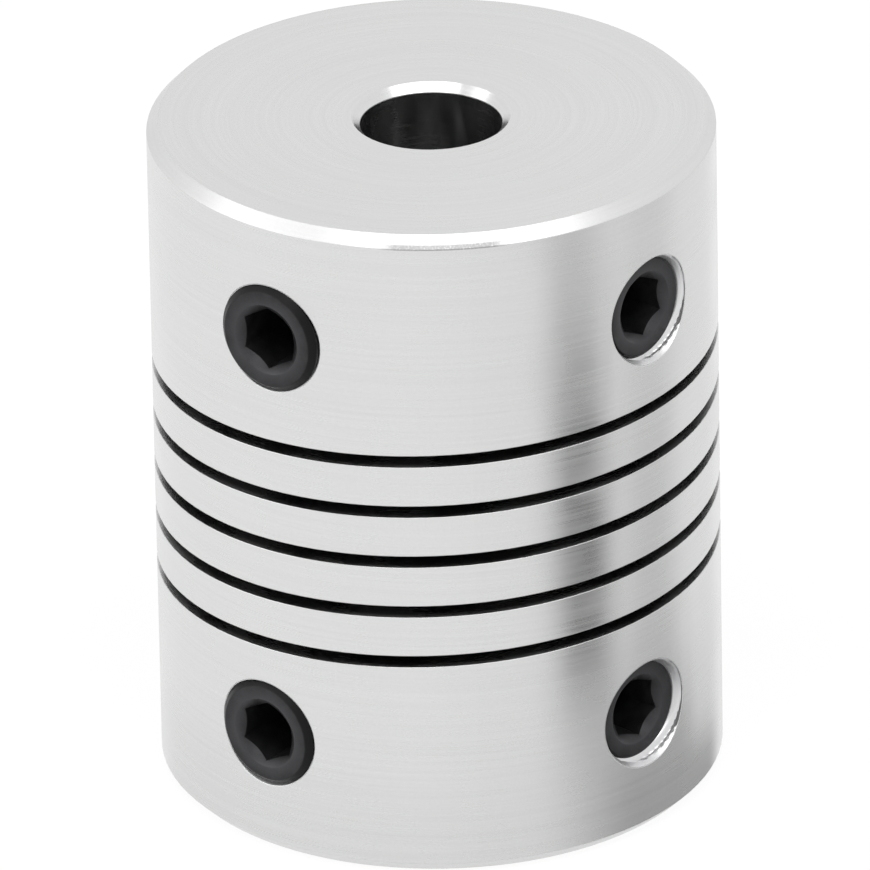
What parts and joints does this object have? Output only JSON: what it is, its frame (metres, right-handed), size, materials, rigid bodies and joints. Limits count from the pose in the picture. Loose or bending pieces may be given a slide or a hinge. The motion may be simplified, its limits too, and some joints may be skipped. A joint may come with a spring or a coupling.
{
  "type": "helical beam shaft coupling",
  "caption": "One-piece flexible shaft coupling whose helical slot leaves a coiled beam between two hubs, with set screws that grip the shafts.",
  "frame": {"origin": "centre of the bottom end face, on the shaft axis", "axes": "+Z along the shaft axis from the bottom hub to the top hub; +X runs midway between the two screws of the top hub"},
  "size_m": [0.02, 0.02, 0.0248],
  "materials": {
    "turned_aluminium": "fine turned, clear anodised",
    "black_oxide_steel": "black oxide"
  },
  "bodies": {
    "root": {"coupling_body": "turned_aluminium", "top_left_set_screw": "black_oxide_steel", "top_right_set_screw": "black_oxide_steel", "bottom_left_set_screw": "black_oxide_steel", "bottom_right_set_screw": "black_oxide_steel"}
  },
  "joints": []
}
